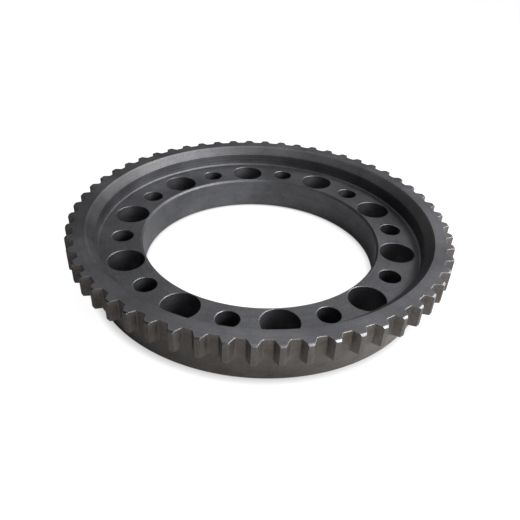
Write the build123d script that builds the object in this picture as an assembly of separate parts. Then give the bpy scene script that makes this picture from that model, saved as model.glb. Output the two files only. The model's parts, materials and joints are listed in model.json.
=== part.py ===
"""Externally toothed ring gear hub, made as one turned, drilled and hobbed steel ring.

Frame: millimetres, +Z up along the ring's axis, origin at the centre of the bottom face.
A large hole and a tooth gap are both centred on the +X direction.
"""

import os
from math import acos, cos, pi, radians, sin, tan

from build123d import *

# Teeth: an involute spline of stub form, hobbed round the outside of the rim.
tooth_count = 56
tooth_module = 7.0
pressure_angle = 30.0
tooth_thickness = 8.5  # along the pitch circle
tooth_addendum = 3.4  # from the pitch circle out to the tips
tooth_dedendum = 4.1  # from the pitch circle in to the gap floors
tooth_length = 21.3  # along the axis, down from the rim's top face
tooth_tip_chamfer = 1.6  # on the top end of each tooth
root_corner_relief = 0.8  # small slope between a flank and its gap floor
top_edge_break = 0.5  # small bevel along the flanks and the gap floors at the top face

# Rim that stands up round the recess.
rim_height = 23.0  # from the recess floor to the rim's top face
rim_wall = 11.9  # from the gap floors in to the mouth of the recess, at the top face
recess_mouth_chamfer = 8.5
recess_floor_fillet = 2.5

# Flange that is bolted down, below the recess.
flange_thickness = 36.0
flange_width = 46.5  # from the recess wall in to the bore
bore_chamfer = 2.2
base_taper = 13.9  # how far the outside comes in from the gap floors to the bottom face
base_edge_chamfer = 1.0
base_top_gap = 0.5  # the base starts this far inside the gap floors, for the hob to run out

# Two sets of through holes take turns on one circle.
hole_circle_inset = 25.5  # from the recess wall in to the holes' centres
hole_count = 10  # in each set
large_hole_diameter = 36.0
large_hole_chamfer = 0.8
small_hole_diameter = 22.0
small_hole_chamfer = 0.6

cut_clearance = 1.0  # how far cutting tools run past a face


pitch_radius = tooth_count * tooth_module / 2
base_circle_radius = pitch_radius * cos(radians(pressure_angle))
tip_radius = pitch_radius + tooth_addendum
root_radius = pitch_radius - tooth_dedendum
mouth_radius = root_radius - rim_wall
recess_radius = mouth_radius - recess_mouth_chamfer
bore_radius = recess_radius - flange_width
hole_circle_radius = recess_radius - hole_circle_inset
top_height = flange_thickness + rim_height
tooth_end = top_height - tooth_length


def involute_angle(radius):
    """Angle between the flank's foot on the base circle and its point at this radius, in radians."""
    local_angle = acos(base_circle_radius / radius)
    return tan(local_angle) - local_angle


def tooth_half_angle(radius):
    """Half of the angle that one tooth covers at this radius, in radians."""
    half_at_pitch = tooth_thickness / 2 / pitch_radius
    return half_at_pitch + involute_angle(pitch_radius) - involute_angle(radius)


def on_circle(radius, angle):
    """Point in the plane at this radius and angle in radians."""
    return (radius * cos(angle), radius * sin(angle))


def gap_face(grown=0):
    """Section of the space between two teeth, centred on +X and open past the tips.

    A gap grown on its root and flanks has the same involutes, each turned about the axis.
    """
    inner_radius = root_radius - grown
    outer_radius = tip_radius + cut_clearance
    radii = (inner_radius, (inner_radius + outer_radius) / 2, outer_radius)
    turned = grown / base_circle_radius

    def flank(side):
        half_angles = [pi / tooth_count - tooth_half_angle(radius) + turned for radius in radii]
        return [on_circle(radius, side * angle) for radius, angle in zip(radii, half_angles)]

    left = flank(1)
    right = flank(-1)
    edges = [
        ThreePointArc(right[0], (inner_radius, 0), left[0]),
        ThreePointArc(*left),
        Line(left[2], right[2]),
        ThreePointArc(*right),
    ]
    face = make_face(edges)
    root_corners = face.vertices().sort_by(Axis.X)[:2]
    return chamfer(root_corners, root_corner_relief)


def lathe_section(outline):
    """Flat section beside the axis from a list of (radius, height) corners."""
    corners = [(radius, 0, height) for radius, height in outline]
    return make_face(Polyline(corners, close=True).edges())


def turned_blank():
    """The ring as it leaves the lathe: bore, recess, chamfers, tip cylinder and tapered base."""
    base_radius = root_radius - base_taper
    outline = [
        (bore_radius, bore_chamfer),
        (bore_radius + bore_chamfer, 0),
        (base_radius - base_edge_chamfer, 0),
        (base_radius, base_edge_chamfer),
        (root_radius - base_top_gap, tooth_end),
        (tip_radius, tooth_end),
        (tip_radius, top_height - tooth_tip_chamfer),
        (tip_radius - tooth_tip_chamfer, top_height),
        (mouth_radius, top_height),
        (recess_radius, top_height - recess_mouth_chamfer),
        (recess_radius, flange_thickness),
        (bore_radius + bore_chamfer, flange_thickness),
        (bore_radius, flange_thickness - bore_chamfer),
    ]
    section = lathe_section(outline)
    floor_corner = section.vertices().sort_by_distance((recess_radius, 0, flange_thickness))[0]
    return revolve(fillet(floor_corner, recess_floor_fillet), Axis.Z)


def through_holes(diameter, chamfer_size, first_angle):
    """Cutters for one set of holes, each with a chamfered edge at the recess floor."""
    radius = diameter / 2
    outline = [
        (0, -cut_clearance),
        (radius, -cut_clearance),
        (radius, flange_thickness - chamfer_size),
        (radius + chamfer_size + cut_clearance, flange_thickness + cut_clearance),
        (0, flange_thickness + cut_clearance),
    ]
    cutter = revolve(lathe_section(outline), Axis.Z)
    places = PolarLocations(hole_circle_radius, hole_count, start_angle=first_angle)
    return [place * cutter for place in places]


def tooth_gaps():
    """Cutters for all the spaces between teeth, flared at the top to break the edges there."""
    start = tooth_end - cut_clearance
    flare_start = top_height - top_edge_break
    straight = Pos(0, 0, start) * extrude(gap_face(), flare_start - start)
    flare_foot = Pos(0, 0, flare_start) * gap_face()
    flare_mouth = Pos(0, 0, top_height + cut_clearance) * gap_face(top_edge_break + cut_clearance)
    cutter = straight + loft([flare_foot, flare_mouth], ruled=True)
    return [place * cutter for place in PolarLocations(0, tooth_count)]


def ring_gear_hub():
    """The whole part as one solid."""
    ring = turned_blank()
    ring -= through_holes(large_hole_diameter, large_hole_chamfer, 0)
    ring -= through_holes(small_hole_diameter, small_hole_chamfer, 180 / hole_count)
    ring -= tooth_gaps()
    return ring


def main():
    os.makedirs("parts", exist_ok=True)
    export_step(ring_gear_hub(), "parts/ring_gear_hub.step")


main()
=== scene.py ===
import json
from math import acos, cos, hypot, pi, radians, sin, tan

import bpy
from mathutils import Matrix, Vector


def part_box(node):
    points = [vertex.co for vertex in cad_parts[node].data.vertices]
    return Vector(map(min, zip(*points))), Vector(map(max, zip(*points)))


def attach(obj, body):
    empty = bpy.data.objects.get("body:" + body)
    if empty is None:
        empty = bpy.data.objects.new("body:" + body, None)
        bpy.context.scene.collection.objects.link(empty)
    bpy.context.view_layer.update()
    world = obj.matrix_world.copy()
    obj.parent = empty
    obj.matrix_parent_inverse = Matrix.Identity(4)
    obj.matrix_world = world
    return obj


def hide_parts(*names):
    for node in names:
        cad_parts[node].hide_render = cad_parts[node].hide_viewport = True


mm = 0.001
mergeWithin = 0.001 * mm
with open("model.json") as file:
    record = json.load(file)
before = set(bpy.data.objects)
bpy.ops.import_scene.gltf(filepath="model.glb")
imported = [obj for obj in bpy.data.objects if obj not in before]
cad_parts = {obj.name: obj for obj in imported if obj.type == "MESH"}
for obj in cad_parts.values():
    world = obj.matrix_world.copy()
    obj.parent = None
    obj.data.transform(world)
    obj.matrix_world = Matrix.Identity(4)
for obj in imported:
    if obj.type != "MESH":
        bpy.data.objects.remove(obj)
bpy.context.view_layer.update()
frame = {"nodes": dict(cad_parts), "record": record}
mounts = {mount["name"]: mount for mount in frame["record"]["mounts"]}
cadRing = frame["nodes"]["ring_gear_hub"]
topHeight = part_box("ring_gear_hub")[1].z
tipRadius = max(hypot(corner.co.x, corner.co.y) for corner in cadRing.data.vertices)


# Helpers for working in edit mode

def activate(piece):
    bpy.ops.object.select_all(action="DESELECT")
    piece.select_set(True)
    bpy.context.view_layer.objects.active = piece


def editAll(piece):
    activate(piece)
    bpy.ops.object.mode_set(mode="EDIT")
    bpy.ops.mesh.select_all(action="SELECT")


def drawOutline(name, points):
    # one vertex is pulled from point to point, then the loop is closed
    bpy.ops.object.select_all(action="DESELECT")
    bpy.ops.mesh.primitive_plane_add(size=mm, location=points[0])
    piece = bpy.context.object
    piece.name = name
    bpy.ops.object.mode_set(mode="EDIT")
    bpy.ops.mesh.merge(type="CENTER")
    for start, end in zip(points, points[1:] + points[:1]):
        step = Vector(end) - Vector(start)
        bpy.ops.mesh.extrude_region_move(TRANSFORM_OT_translate={"value": step})
    bpy.ops.mesh.select_all(action="SELECT")
    bpy.ops.mesh.remove_doubles(threshold=mergeWithin)
    bpy.ops.object.mode_set(mode="OBJECT")
    bpy.ops.object.transform_apply(location=True, rotation=True, scale=True)
    return piece


def spinSolid(piece, centre, steps):
    editAll(piece)
    bpy.ops.mesh.spin(steps=steps, angle=2 * pi, center=centre, axis=(0, 0, 1))
    bpy.ops.mesh.select_all(action="SELECT")
    bpy.ops.mesh.remove_doubles(threshold=mergeWithin)
    bpy.ops.mesh.normals_make_consistent(inside=False)
    bpy.ops.object.mode_set(mode="OBJECT")


def copyRound(piece, count):
    # copies all round the ring's axis, the first one included
    editAll(piece)
    turn = 2 * pi * (count - 1) / count
    bpy.ops.mesh.spin(steps=count - 1, angle=turn, center=(0, 0, 0), axis=(0, 0, 1), dupli=True)
    bpy.ops.object.mode_set(mode="OBJECT")


def cutAway(piece, cutter):
    activate(piece)
    bpy.ops.object.modifier_add(type="BOOLEAN")
    cut = piece.modifiers[-1]
    cut.operation = "DIFFERENCE"
    cut.solver = "EXACT"
    cut.object = cutter
    bpy.ops.object.modifier_apply(modifier=cut.name)
    bpy.data.objects.remove(cutter, do_unlink=True)


# The ring as it leaves the lathe; sizes in millimetres

ringShape = {
    "gapDepth": 7.5,  # from the tooth tips in to the gap floors
    "rimWall": 11.9,
    "mouthChamfer": 8.5,
    "rimHeight": 23.0,
    "floorFillet": 2.5,
    "toothLength": 21.3,
    "tipChamfer": 1.6,
    "baseTaper": 13.9,
    "baseChamfer": 1.0,
    "baseTopGap": 0.5,
    "boreChamfer": 2.0,
    "edgeBreak": 0.35,
    "boreEdgeBreak": 0.15,  # narrow, because the large holes come close to it
    "filletSteps": 6,
    "steps": 224,  # four for each tooth
}


boreRadius = mounts["bore"]["dims"]["r_mm"] * mm
rootRadius = tipRadius - ringShape["gapDepth"] * mm
mouthRadius = rootRadius - ringShape["rimWall"] * mm
recessRadius = mouthRadius - ringShape["mouthChamfer"] * mm
floorHeight = topHeight - ringShape["rimHeight"] * mm
toothEnd = topHeight - ringShape["toothLength"] * mm


def breakCorners(outline):
    # each corner given a width is cut back along both of its sides and rounded
    points = []
    for index, (radius, height, width) in enumerate(outline):
        corner = Vector((radius, height))
        if width:
            before = Vector(outline[index - 1][:2]) - corner
            after = Vector(outline[(index + 1) % len(outline)][:2]) - corner
            start = corner + before.normalized() * width
            end = corner + after.normalized() * width
            points += [start, (start + 2 * corner + end) / 4, end]
        else:
            points.append(corner)
    return points


def floorCorner():
    fillet = ringShape["floorFillet"] * mm
    points = []
    for step in range(ringShape["filletSteps"] + 1):
        angle = pi / 2 * step / ringShape["filletSteps"]
        radius = recessRadius - fillet + fillet * cos(angle)
        height = floorHeight + fillet - fillet * sin(angle)
        points.append((radius, height, 0))
    return points


def turnedRing():
    size = {name: value * mm for name, value in ringShape.items()}
    baseRadius = rootRadius - size["baseTaper"]
    broken = size["edgeBreak"]
    # radius, height and width of the broken edge; the teeth's own edges are broken later
    outline = [
        (boreRadius, size["boreChamfer"], broken),
        (boreRadius + size["boreChamfer"], 0, broken),
        (baseRadius - size["baseChamfer"], 0, broken),
        (baseRadius, size["baseChamfer"], broken),
        (rootRadius - size["baseTopGap"], toothEnd, 0),
        (tipRadius, toothEnd, 0),
        (tipRadius, topHeight - size["tipChamfer"], 0),
        (tipRadius - size["tipChamfer"], topHeight, 0),
        (mouthRadius, topHeight, broken),
        (recessRadius, topHeight - size["mouthChamfer"], broken),
        *floorCorner(),
        (boreRadius + size["boreChamfer"], floorHeight, size["boreEdgeBreak"]),
        (boreRadius, floorHeight - size["boreChamfer"], broken),
    ]
    ring = drawOutline("toothed_ring", [(point.x, 0, point.y) for point in breakCorners(outline)])
    spinSolid(ring, (0, 0, 0), ringShape["steps"])
    print("turned ring", len(ring.data.vertices), "vertices")
    return ring


# The spaces between the teeth, with involute flanks

toothShape = {
    "count": 56,
    "module": 7.0,
    "pressureAngle": 30.0,
    "thickness": 8.5,  # along the pitch circle
    "rootFillet": 1.1,
    "flankSteps": 4,
    "rootSteps": 4,
    "pastTips": 2.0,  # how far the cutters reach beyond the tips and both ends
    "pastEnds": 1.0,
}

pitchRadius = toothShape["count"] * toothShape["module"] * mm / 2
baseCircle = pitchRadius * cos(radians(toothShape["pressureAngle"]))


def involuteAngle(radius):
    localAngle = acos(baseCircle / radius)
    return tan(localAngle) - localAngle


def gapHalfAngle(radius):
    atPitch = toothShape["thickness"] * mm / 2 / pitchRadius
    toothHalf = atPitch + involuteAngle(pitchRadius) - involuteAngle(radius)
    return pi / toothShape["count"] - toothHalf


def gapSide():
    # radius and angle from the middle of the gap floor's side out past the tip
    fillet = toothShape["rootFillet"] * mm
    flankFoot = rootRadius + fillet
    reach = tipRadius + toothShape["pastTips"] * mm - flankFoot
    side = []
    for step in range(toothShape["flankSteps"] + 1):
        radius = flankFoot + reach * step / toothShape["flankSteps"]
        side.append((radius, gapHalfAngle(radius)))
    footAngle = gapHalfAngle(flankFoot)
    cornerAngle = gapHalfAngle(rootRadius)
    floorAngle = cornerAngle - fillet / rootRadius
    for step in range(1, toothShape["rootSteps"] + 1):  # round the corner to the gap floor
        along = step / toothShape["rootSteps"]
        rest = 1 - along
        angle = rest**2 * footAngle + 2 * rest * along * cornerAngle + along**2 * floorAngle
        side.insert(0, (rootRadius + fillet * rest**2, angle))
    return side


def toothGaps():
    side = gapSide()
    outline = side + [(radius, -angle) for radius, angle in reversed(side)]
    low = toothEnd - toothShape["pastEnds"] * mm
    high = topHeight + toothShape["pastEnds"] * mm
    points = [(radius * cos(angle), radius * sin(angle), low) for radius, angle in outline]
    gap = drawOutline("tooth_gap", points)
    editAll(gap)
    bpy.ops.mesh.edge_face_add()
    bpy.ops.mesh.extrude_region_move(TRANSFORM_OT_translate={"value": (0, 0, high - low)})
    bpy.ops.mesh.select_all(action="SELECT")
    bpy.ops.mesh.normals_make_consistent(inside=False)
    bpy.ops.object.mode_set(mode="OBJECT")
    copyRound(gap, toothShape["count"])
    return gap


# The two sets of holes, read from the mounts; sizes in millimetres

holeShape = {
    "large_holes": {"chamfer": 0.6, "steps": 96},
    "small_holes": {"chamfer": 0.5, "steps": 72},
    "edgeBreak": 0.12,
    "past": 1.0,  # how far the cutters reach beyond the faces
}


def throughHoles(name):
    dims = mounts[name]["dims"]
    circle = dims["pcd_mm"] * mm / 2
    radius = dims["hole_r_mm"] * mm
    chamfer = holeShape[name]["chamfer"] * mm
    past = holeShape["past"] * mm
    broken = holeShape["edgeBreak"] * mm
    slant = broken * cos(pi / 4)
    rim = radius + chamfer + broken
    above = floorHeight + past * tan(pi / 8)  # the last facet leans half as much as the chamfer
    outline = [
        (0, -past),
        (radius + broken + past, -past),
        (radius, broken),
        (radius, floorHeight - chamfer - broken),
        (radius + slant, floorHeight - chamfer + slant),
        (radius + chamfer - slant, floorHeight - slant),
        (rim, floorHeight),
        (rim + past, above),
        (0, above),
    ]
    hole = drawOutline(name, [(circle + out, 0, height) for out, height in outline])
    spinSolid(hole, (circle, 0, 0), holeShape[name]["steps"])
    copyRound(hole, dims["count"])
    return hole


def turnHalfStep(piece, count):
    editAll(piece)
    bpy.ops.transform.rotate(value=pi / count, orient_axis="Z", center_override=(0, 0, 0))
    bpy.ops.object.mode_set(mode="OBJECT")


# Broken edges of the teeth, in millimetres

toothEdges = {
    "sharpFrom": 20.0,  # degrees between the faces
    "top": 0.6,
    "side": 0.3,
    "segments": 2,
    "tolerance": 0.1,
    "thin": 0.4,  # a face narrower than this is a broken edge
    "slanted": (0.05, 0.99),  # upward share of a slanted face's normal
    "tipSlant": (0.5, 0.9),
    "largeFaceWeight": 90,
}

# How far each kind of edge is rubbed bright, from 0 to 1: partly real wear, partly a painted highlight, most
# of all on the tip chamfers
edgeWearAndSheen = {
    "tip": 0.8,
    "tooth": 0.35,
    "hole": 0.6,
    "ring": 0.1,
}


def breakToothEdges(ring):
    mesh = ring.data
    weights = mesh.attributes.new("bevel_weight_edge", "FLOAT", "EDGE")
    beside = {}
    for face in mesh.polygons:
        for key in face.edge_keys:
            beside.setdefault(key, []).append(face)
    tolerance = toothEdges["tolerance"] * mm
    sharpest = cos(radians(toothEdges["sharpFrom"]))
    for edge in mesh.edges:
        first, second = beside[edge.key]
        middle = (mesh.vertices[edge.vertices[0]].co + mesh.vertices[edge.vertices[1]].co) / 2
        flat = first.normal.dot(second.normal) > sharpest
        hollow = (second.center - first.center).dot(first.normal) > 0
        if flat or hollow or hypot(middle.x, middle.y) < rootRadius - tolerance:
            continue
        atTop = middle.z > topHeight - tolerance
        weights.data[edge.index].value = 1 if atTop else toothEdges["side"] / toothEdges["top"]
    # the second slot marks the new faces until their wear is noted
    mesh.materials.append(None)
    mesh.materials.append(None)
    activate(ring)
    bpy.ops.object.modifier_add(type="BEVEL")
    bevel = ring.modifiers[-1]
    bevel.limit_method = "WEIGHT"
    bevel.offset_type = "OFFSET"
    bevel.width = toothEdges["top"] * mm
    bevel.segments = toothEdges["segments"]
    bevel.use_clamp_overlap = False
    bevel.miter_outer = "MITER_ARC"
    bevel.material = 1
    bpy.ops.object.modifier_apply(modifier=bevel.name)


def noteWearAndSheen(ring):
    # broken edges are rubbed brighter, partly real wear and partly a painted highlight: the tip chamfers, the
    # teeth's new faces, and the narrow slanted rings
    mesh = ring.data
    wearAndSheen = mesh.attributes.new("edgeWearAndSheen", "FLOAT", "FACE")
    boreSide = boreRadius + (ringShape["boreChamfer"] + ringShape["boreEdgeBreak"]) * mm
    wallSide = recessRadius - ringShape["floorFillet"] * mm
    tipSide = tipRadius - (ringShape["tipChamfer"] + toothEdges["top"]) * mm
    leastSlant, mostSlant = toothEdges["slanted"]
    leastTip, mostTip = toothEdges["tipSlant"]
    for face in mesh.polygons:
        corners = [mesh.vertices[index].co for index in face.vertices]
        around = sum((end - start).length for start, end in zip(corners, corners[1:] + corners[:1]))
        narrow = 2 * face.area < toothEdges["thin"] * mm * around
        slanted = leastSlant < abs(face.normal.z) < mostSlant
        out = hypot(face.center.x, face.center.y)
        if out > tipSide and leastTip < face.normal.z < mostTip:
            wearAndSheen.data[face.index].value = edgeWearAndSheen["tip"]
        elif face.material_index == 1:
            wearAndSheen.data[face.index].value = edgeWearAndSheen["tooth"]
        elif narrow and slanted:
            wearAndSheen.data[face.index].value = edgeWearAndSheen["hole" if boreSide < out < wallSide else "ring"]
        face.material_index = 0
    mesh.materials.clear()


def smoothRing(ring):
    # large faces lead the normals, so the flat ones stay flat beside their rounded edges
    activate(ring)
    bpy.ops.object.shade_smooth()
    bpy.ops.object.modifier_add(type="WEIGHTED_NORMAL")
    evened = ring.modifiers[-1]
    evened.mode = "FACE_AREA"
    evened.weight = toothEdges["largeFaceWeight"]
    bpy.ops.object.modifier_apply(modifier=evened.name)


def makeRing():
    ring = turnedRing()
    cutAway(ring, throughHoles("large_holes"))
    small = throughHoles("small_holes")
    turnHalfStep(small, mounts["small_holes"]["dims"]["count"])
    cutAway(ring, small)
    print("holes cut")
    cutAway(ring, toothGaps())
    print("teeth cut")
    breakToothEdges(ring)
    noteWearAndSheen(ring)
    smoothRing(ring)
    print("edges broken", len(ring.data.polygons), "faces")
    return ring


ring = makeRing()
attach(ring, "root")
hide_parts("ring_gear_hub")


# Steel: dark oxide over turned and hobbed faces, rubbed bright on the edges; painted light makes the flat
# faces and the top band lighter, a painted brown reflection warms the outer upright faces, and the bright
# edges are partly a painted highlight

steel = {
    "turned": (0.125, 0.127, 0.137, 1),
    # partly the hobbed finish, partly a painted reflection of a brown ground on the outer upright faces
    "hobbed": (0.142, 0.131, 0.124, 1),
    "stain": (0.094, 0.079, 0.068, 1),
    # brighter steel on the edges: partly real wear, partly a painted highlight
    "bareEdgeAndSheen": (0.34, 0.34, 0.35, 1),
    "metallic": 1.0,
    "roughness": 0.55,
    "rubbedSmoother": 0.12,
    "wallFrom": 169.0,  # the recess wall, by radius in millimetres
    "wallTo": 172.5,
    "hobbedFrom": 174.0,
    # painted light: how much lighter the flat faces and the top band are made
    "flatPaintedLight": 1.2,
    "crownPaintedLight": 1.12,
    "turnedStain": 0.25,
    "grooveScale": 1300.0,
    "bandScale": 240.0,
    "grainScale": 1100.0,
    "smudgeScale": 85.0,
    "patchScale": 20.0,
    # each pair of inputs becomes the pair of values after it
    "flatRange": (0.6, 0.9, 0, 1),
    "uprightRange": (0.4, 0.8, 1, 0),
    "patchTone": (0.35, 0.65, 0.86, 1.14),
    "smudgeTone": (0.35, 0.65, 0.9, 1.1),
    "grainTone": (0.35, 0.65, 0.8, 1.2),
    "bandTone": (0.3, 0.7, 0.95, 1.05),
    "wallBandTone": (0.35, 0.65, 0.75, 1.2),
    "staining": (0.45, 0.7, 0, 0.9),
    "rubbing": (0.4, 0.6, 0.25, 0.9),
    "patchRoughness": (0.3, 0.7, -0.05, 0.05),
    "grooveRoughness": (0.3, 0.7, -0.04, 0.04),
    "bumpStrength": 0.5,
    "relief": 0.03,  # millimetres
    "bandRelief": 1.5,
    "grainRelief": 0.8,
}


def addNode(tree, kind, sockets, **settings):
    node = tree.nodes.new(kind)
    for name, value in settings.items():
        setattr(node, name, value)
    for name, value in sockets.items():
        if isinstance(value, bpy.types.NodeSocket):
            tree.links.new(value, node.inputs[name])
        else:
            node.inputs[name].default_value = value
    return node


def reckon(tree, operation, first, second):
    return addNode(tree, "ShaderNodeMath", {0: first, 1: second}, operation=operation).outputs[0]


def product(tree, first, *others):
    for other in others:
        first = reckon(tree, "MULTIPLY", first, other)
    return first


def remap(tree, value, low, high, start, end):
    sockets = {"Value": value, "From Min": low, "From Max": high, "To Min": start, "To Max": end}
    return addNode(tree, "ShaderNodeMapRange", sockets).outputs["Result"]


def blend(tree, share, first, second, kind="MIX"):
    sockets = {"Fac": share, "Color1": first, "Color2": second}
    return addNode(tree, "ShaderNodeMixRGB", sockets, blend_type=kind).outputs["Color"]


def cloud(tree, place, scale, detail):
    sockets = {"Vector": place, "Scale": scale, "Detail": detail}
    return addNode(tree, "ShaderNodeTexNoise", sockets).outputs["Fac"]


def lines(tree, distance, scale, detail):
    sockets = {"W": distance, "Scale": scale, "Detail": detail}
    return addNode(tree, "ShaderNodeTexNoise", sockets, noise_dimensions="1D").outputs["Fac"]


def surfacePlaces(tree):
    place = addNode(tree, "ShaderNodeTexCoord", {}).outputs["Object"]
    level = addNode(tree, "ShaderNodeVectorMath", {0: place, 1: (1, 1, 0)}, operation="MULTIPLY").outputs[0]
    radius = addNode(tree, "ShaderNodeVectorMath", {0: level}, operation="LENGTH").outputs["Value"]
    height = addNode(tree, "ShaderNodeSeparateXYZ", {"Vector": place}).outputs["Z"]
    normal = addNode(tree, "ShaderNodeNewGeometry", {}).outputs["Normal"]
    lift = addNode(tree, "ShaderNodeSeparateXYZ", {"Vector": normal}).outputs["Z"]
    steepness = reckon(tree, "ABSOLUTE", lift, 0)
    return {
        "place": place,
        "radius": radius,
        "height": height,
        "flat": remap(tree, steepness, *steel["flatRange"]),
        "upright": remap(tree, steepness, *steel["uprightRange"]),
    }


def surfaceNoise(tree, where):
    # tool marks lie by radius on the flat faces and by height on the upright ones
    across = blend(tree, where["flat"], where["height"], where["radius"])
    return {
        "grooves": lines(tree, across, steel["grooveScale"], 3),
        "bands": lines(tree, across, steel["bandScale"], 2),
        "grain": cloud(tree, where["place"], steel["grainScale"], 3),
        "smudges": cloud(tree, where["place"], steel["smudgeScale"], 4),
        "patches": cloud(tree, where["place"], steel["patchScale"], 5),
    }


def oxideAndPaintedLight(tree, where, noise):
    # the bands are strongest on the recess wall; the flat faces and the top band are painted lighter, as
    # painted light
    pastFloor = reckon(tree, "GREATER_THAN", where["radius"], steel["wallFrom"] * mm)
    beforeMouth = reckon(tree, "LESS_THAN", where["radius"], steel["wallTo"] * mm)
    wall = product(tree, pastFloor, beforeMouth, remap(tree, where["flat"], 0, 1, 1, 0))
    faintBands = remap(tree, noise["bands"], *steel["bandTone"])
    strongBands = remap(tree, noise["bands"], *steel["wallBandTone"])
    # painted light: the top band of the ring is made lighter
    paintedCrownMask = reckon(tree, "GREATER_THAN", where["height"], topHeight - ringShape["tipChamfer"] * mm)
    return product(
        tree,
        remap(tree, noise["patches"], *steel["patchTone"]),
        remap(tree, noise["smudges"], *steel["smudgeTone"]),
        blend(tree, wall, faintBands, strongBands),
        remap(tree, where["flat"], 0, 1, 1, steel["flatPaintedLight"]),
        remap(tree, paintedCrownMask, 0, 1, 1, steel["crownPaintedLight"]),
        remap(tree, noise["grain"], *steel["grainTone"]),
    )


def darkSteel():
    material = bpy.data.materials.new("darkSteel")
    material.use_nodes = True
    tree = material.node_tree
    shader = tree.nodes["Principled BSDF"]
    where = surfacePlaces(tree)
    noise = surfaceNoise(tree, where)

    # the outer upright faces, the teeth and the base taper, get the warmer colour: partly the hobbed finish,
    # partly a painted reflection of a brown ground
    outside = reckon(tree, "GREATER_THAN", where["radius"], steel["hobbedFrom"] * mm)
    hobbed = product(tree, outside, where["upright"])
    colour = blend(tree, hobbed, steel["turned"], steel["hobbed"])
    staining = remap(tree, noise["smudges"], *steel["staining"])
    stained = product(tree, staining, remap(tree, hobbed, 0, 1, steel["turnedStain"], 1))
    colour = blend(tree, stained, colour, steel["stain"])
    colour = blend(tree, 1.0, colour, oxideAndPaintedLight(tree, where, noise), "MULTIPLY")
    # brighter bare steel on the edges: partly real wear, partly a painted highlight
    edge = addNode(tree, "ShaderNodeAttribute", {}, attribute_name="edgeWearAndSheen").outputs["Fac"]
    wornAndSheen = product(tree, edge, remap(tree, noise["smudges"], *steel["rubbing"]))
    tree.links.new(blend(tree, wornAndSheen, colour, steel["bareEdgeAndSheen"]), shader.inputs["Base Color"])

    patchy = remap(tree, noise["patches"], *steel["patchRoughness"])
    uneven = reckon(tree, "ADD", patchy, remap(tree, noise["grooves"], *steel["grooveRoughness"]))
    rubbed = steel["roughness"] - steel["rubbedSmoother"]
    rough = reckon(tree, "ADD", uneven, remap(tree, wornAndSheen, 0, 1, steel["roughness"], rubbed))
    tree.links.new(rough, shader.inputs["Roughness"])
    shader.inputs["Metallic"].default_value = steel["metallic"]

    marks = reckon(tree, "ADD", noise["grooves"], product(tree, noise["bands"], steel["bandRelief"]))
    marks = reckon(tree, "ADD", marks, product(tree, noise["grain"], steel["grainRelief"]))
    relief = {"Strength": steel["bumpStrength"], "Distance": steel["relief"] * mm, "Height": marks}
    bump = addNode(tree, "ShaderNodeBump", relief).outputs["Normal"]
    tree.links.new(bump, shader.inputs["Normal"])
    return material


ring.data.materials.clear()
ring.data.materials.append(darkSteel())
print("steel")


# Floor, lamps and camera

studio = {
    "floorSize": 6.0,
    "floorSeen": (0.9, 0.9, 0.9, 1),
    "floorLit": (0.6, 0.6, 0.6, 1),
    "floorRoughness": 0.9,
    "floorBelow": 0.1,  # millimetres under the base
    "glowShare": 0.8,
    "glow": 1.22,
    "contact": 12.0,  # reach in millimetres of the painted contact shadow: the floor's glow is dimmed beside the ring
    "contactGlow": 0.5,
    "contactFrom": 0.2,
    "contactTo": 0.8,
    "world": 0.02,
    "lampDistance": 1.25,
    "lampSize": 0.5,
}


def whiteFloor():
    # white where it is seen, greyer where it lights the ring, with a painted contact shadow where the ring is
    # near
    material = bpy.data.materials.new("whiteFloor")
    material.use_nodes = True
    tree = material.node_tree
    shader = tree.nodes["Principled BSDF"]
    seen = addNode(tree, "ShaderNodeLightPath", {}).outputs["Is Camera Ray"]
    paint = blend(tree, seen, studio["floorLit"], studio["floorSeen"])
    tree.links.new(paint, shader.inputs["Base Color"])
    shader.inputs["Roughness"].default_value = studio["floorRoughness"]
    # painted contact shadow: the glow is dimmed where ambient occlusion finds the ring near
    openness = addNode(tree, "ShaderNodeAmbientOcclusion", {"Distance": studio["contact"] * mm}).outputs["AO"]
    contact = (studio["contactFrom"], studio["contactTo"], studio["contactGlow"], studio["glow"])
    strength = remap(tree, openness, *contact)
    glow = addNode(tree, "ShaderNodeEmission", {"Strength": strength}).outputs["Emission"]
    share = reckon(tree, "MULTIPLY", seen, studio["glowShare"])
    sides = {0: share, 1: shader.outputs["BSDF"], 2: glow}
    white = addNode(tree, "ShaderNodeMixShader", sides).outputs["Shader"]
    tree.links.new(white, tree.nodes["Material Output"].inputs["Surface"])
    return material


def makeFloor():
    bpy.ops.object.select_all(action="DESELECT")
    bpy.ops.mesh.primitive_plane_add(size=studio["floorSize"], location=(0, 0, -studio["floorBelow"] * mm))
    floor = bpy.context.object
    floor.name = "studio_floor"
    floor.data.materials.append(whiteFloor())


lamps = {
    "rightHigh": {"azimuth": 9.6, "elevation": 50.0, "power": 10.9},
    "rightLow": {"azimuth": 9.6, "elevation": 25.0, "power": 8.3},
    "frontRight": {"azimuth": 324.6, "elevation": 25.0, "power": 14.2},
    "back": {"azimuth": 99.6, "elevation": 50.0, "power": 1.0},
    "backHigh": {"azimuth": 144.6, "elevation": 72.0, "power": 1.8},
    "backRight": {"azimuth": 54.6, "elevation": 30.0, "power": 0.9},
}


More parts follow.
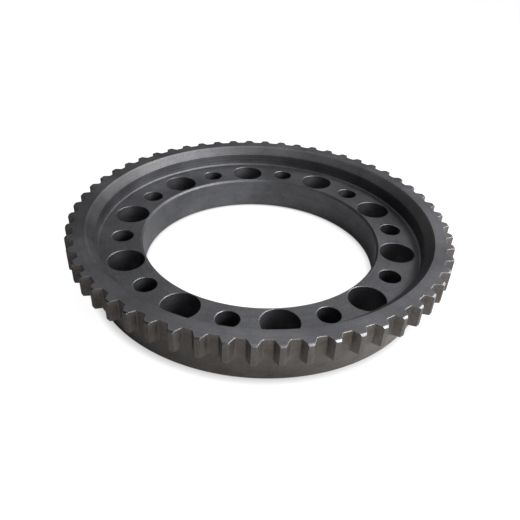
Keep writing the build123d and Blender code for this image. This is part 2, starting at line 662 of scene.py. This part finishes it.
def wayTo(azimuth, elevation):
    around = radians(azimuth)
    above = radians(elevation)
    return Vector((cos(around) * cos(above), sin(around) * cos(above), sin(above)))


def makeLamps():
    for name, lamp in lamps.items():
        way = wayTo(lamp["azimuth"], lamp["elevation"])
        bpy.ops.object.light_add(type="AREA", location=way * studio["lampDistance"])
        light = bpy.context.object
        light.name = name
        light.data.size = studio["lampSize"]
        light.data.energy = lamp["power"]
        light.rotation_euler = way.to_track_quat("Z", "Y").to_euler()


view = {
    "azimuth": 279.61,
    "elevation": 32.003,
    "distance": 0.5849,
    "targetHeight": 0.036,
    "tilt": 2.928,
    "pan": 0.12,
    "roll": -3.221,
    "lens": 37.265,
    "sensorWidth": 36,
}


def makeCamera():
    around = radians(view["azimuth"])
    back = wayTo(view["azimuth"], view["elevation"])
    right = Vector((-sin(around), cos(around), 0))
    up = back.cross(right)
    aim = Matrix((right, up, back)).transposed()
    fine = (
        Matrix.Rotation(radians(view["roll"]), 3, "Z")
        @ Matrix.Rotation(radians(view["tilt"]), 3, "X")
        @ Matrix.Rotation(radians(view["pan"]), 3, "Y")
    )
    camera = bpy.data.objects.new("camera", bpy.data.cameras.new("camera"))
    bpy.context.scene.collection.objects.link(camera)
    camera.data.sensor_width = view["sensorWidth"]
    camera.data.lens = view["lens"]
    place = Vector((0, 0, view["targetHeight"])) + back * view["distance"]
    camera.matrix_world = Matrix.Translation(place) @ (aim @ fine.transposed()).to_4x4()
    bpy.context.scene.camera = camera


def makeWorld():
    # white where it is seen, dim where it lights the ring
    world = bpy.data.worlds.new("studio")
    bpy.context.scene.world = world
    world.use_nodes = True
    background = world.node_tree.nodes["Background"]
    background.inputs["Color"].default_value = (1, 1, 1, 1)
    seen = addNode(world.node_tree, "ShaderNodeLightPath", {}).outputs["Is Camera Ray"]
    strength = remap(world.node_tree, seen, 0, 1, studio["world"], 1)
    world.node_tree.links.new(strength, background.inputs["Strength"])


makeFloor()
makeLamps()
makeCamera()
makeWorld()
bpy.context.scene.view_settings.view_transform = "Standard"
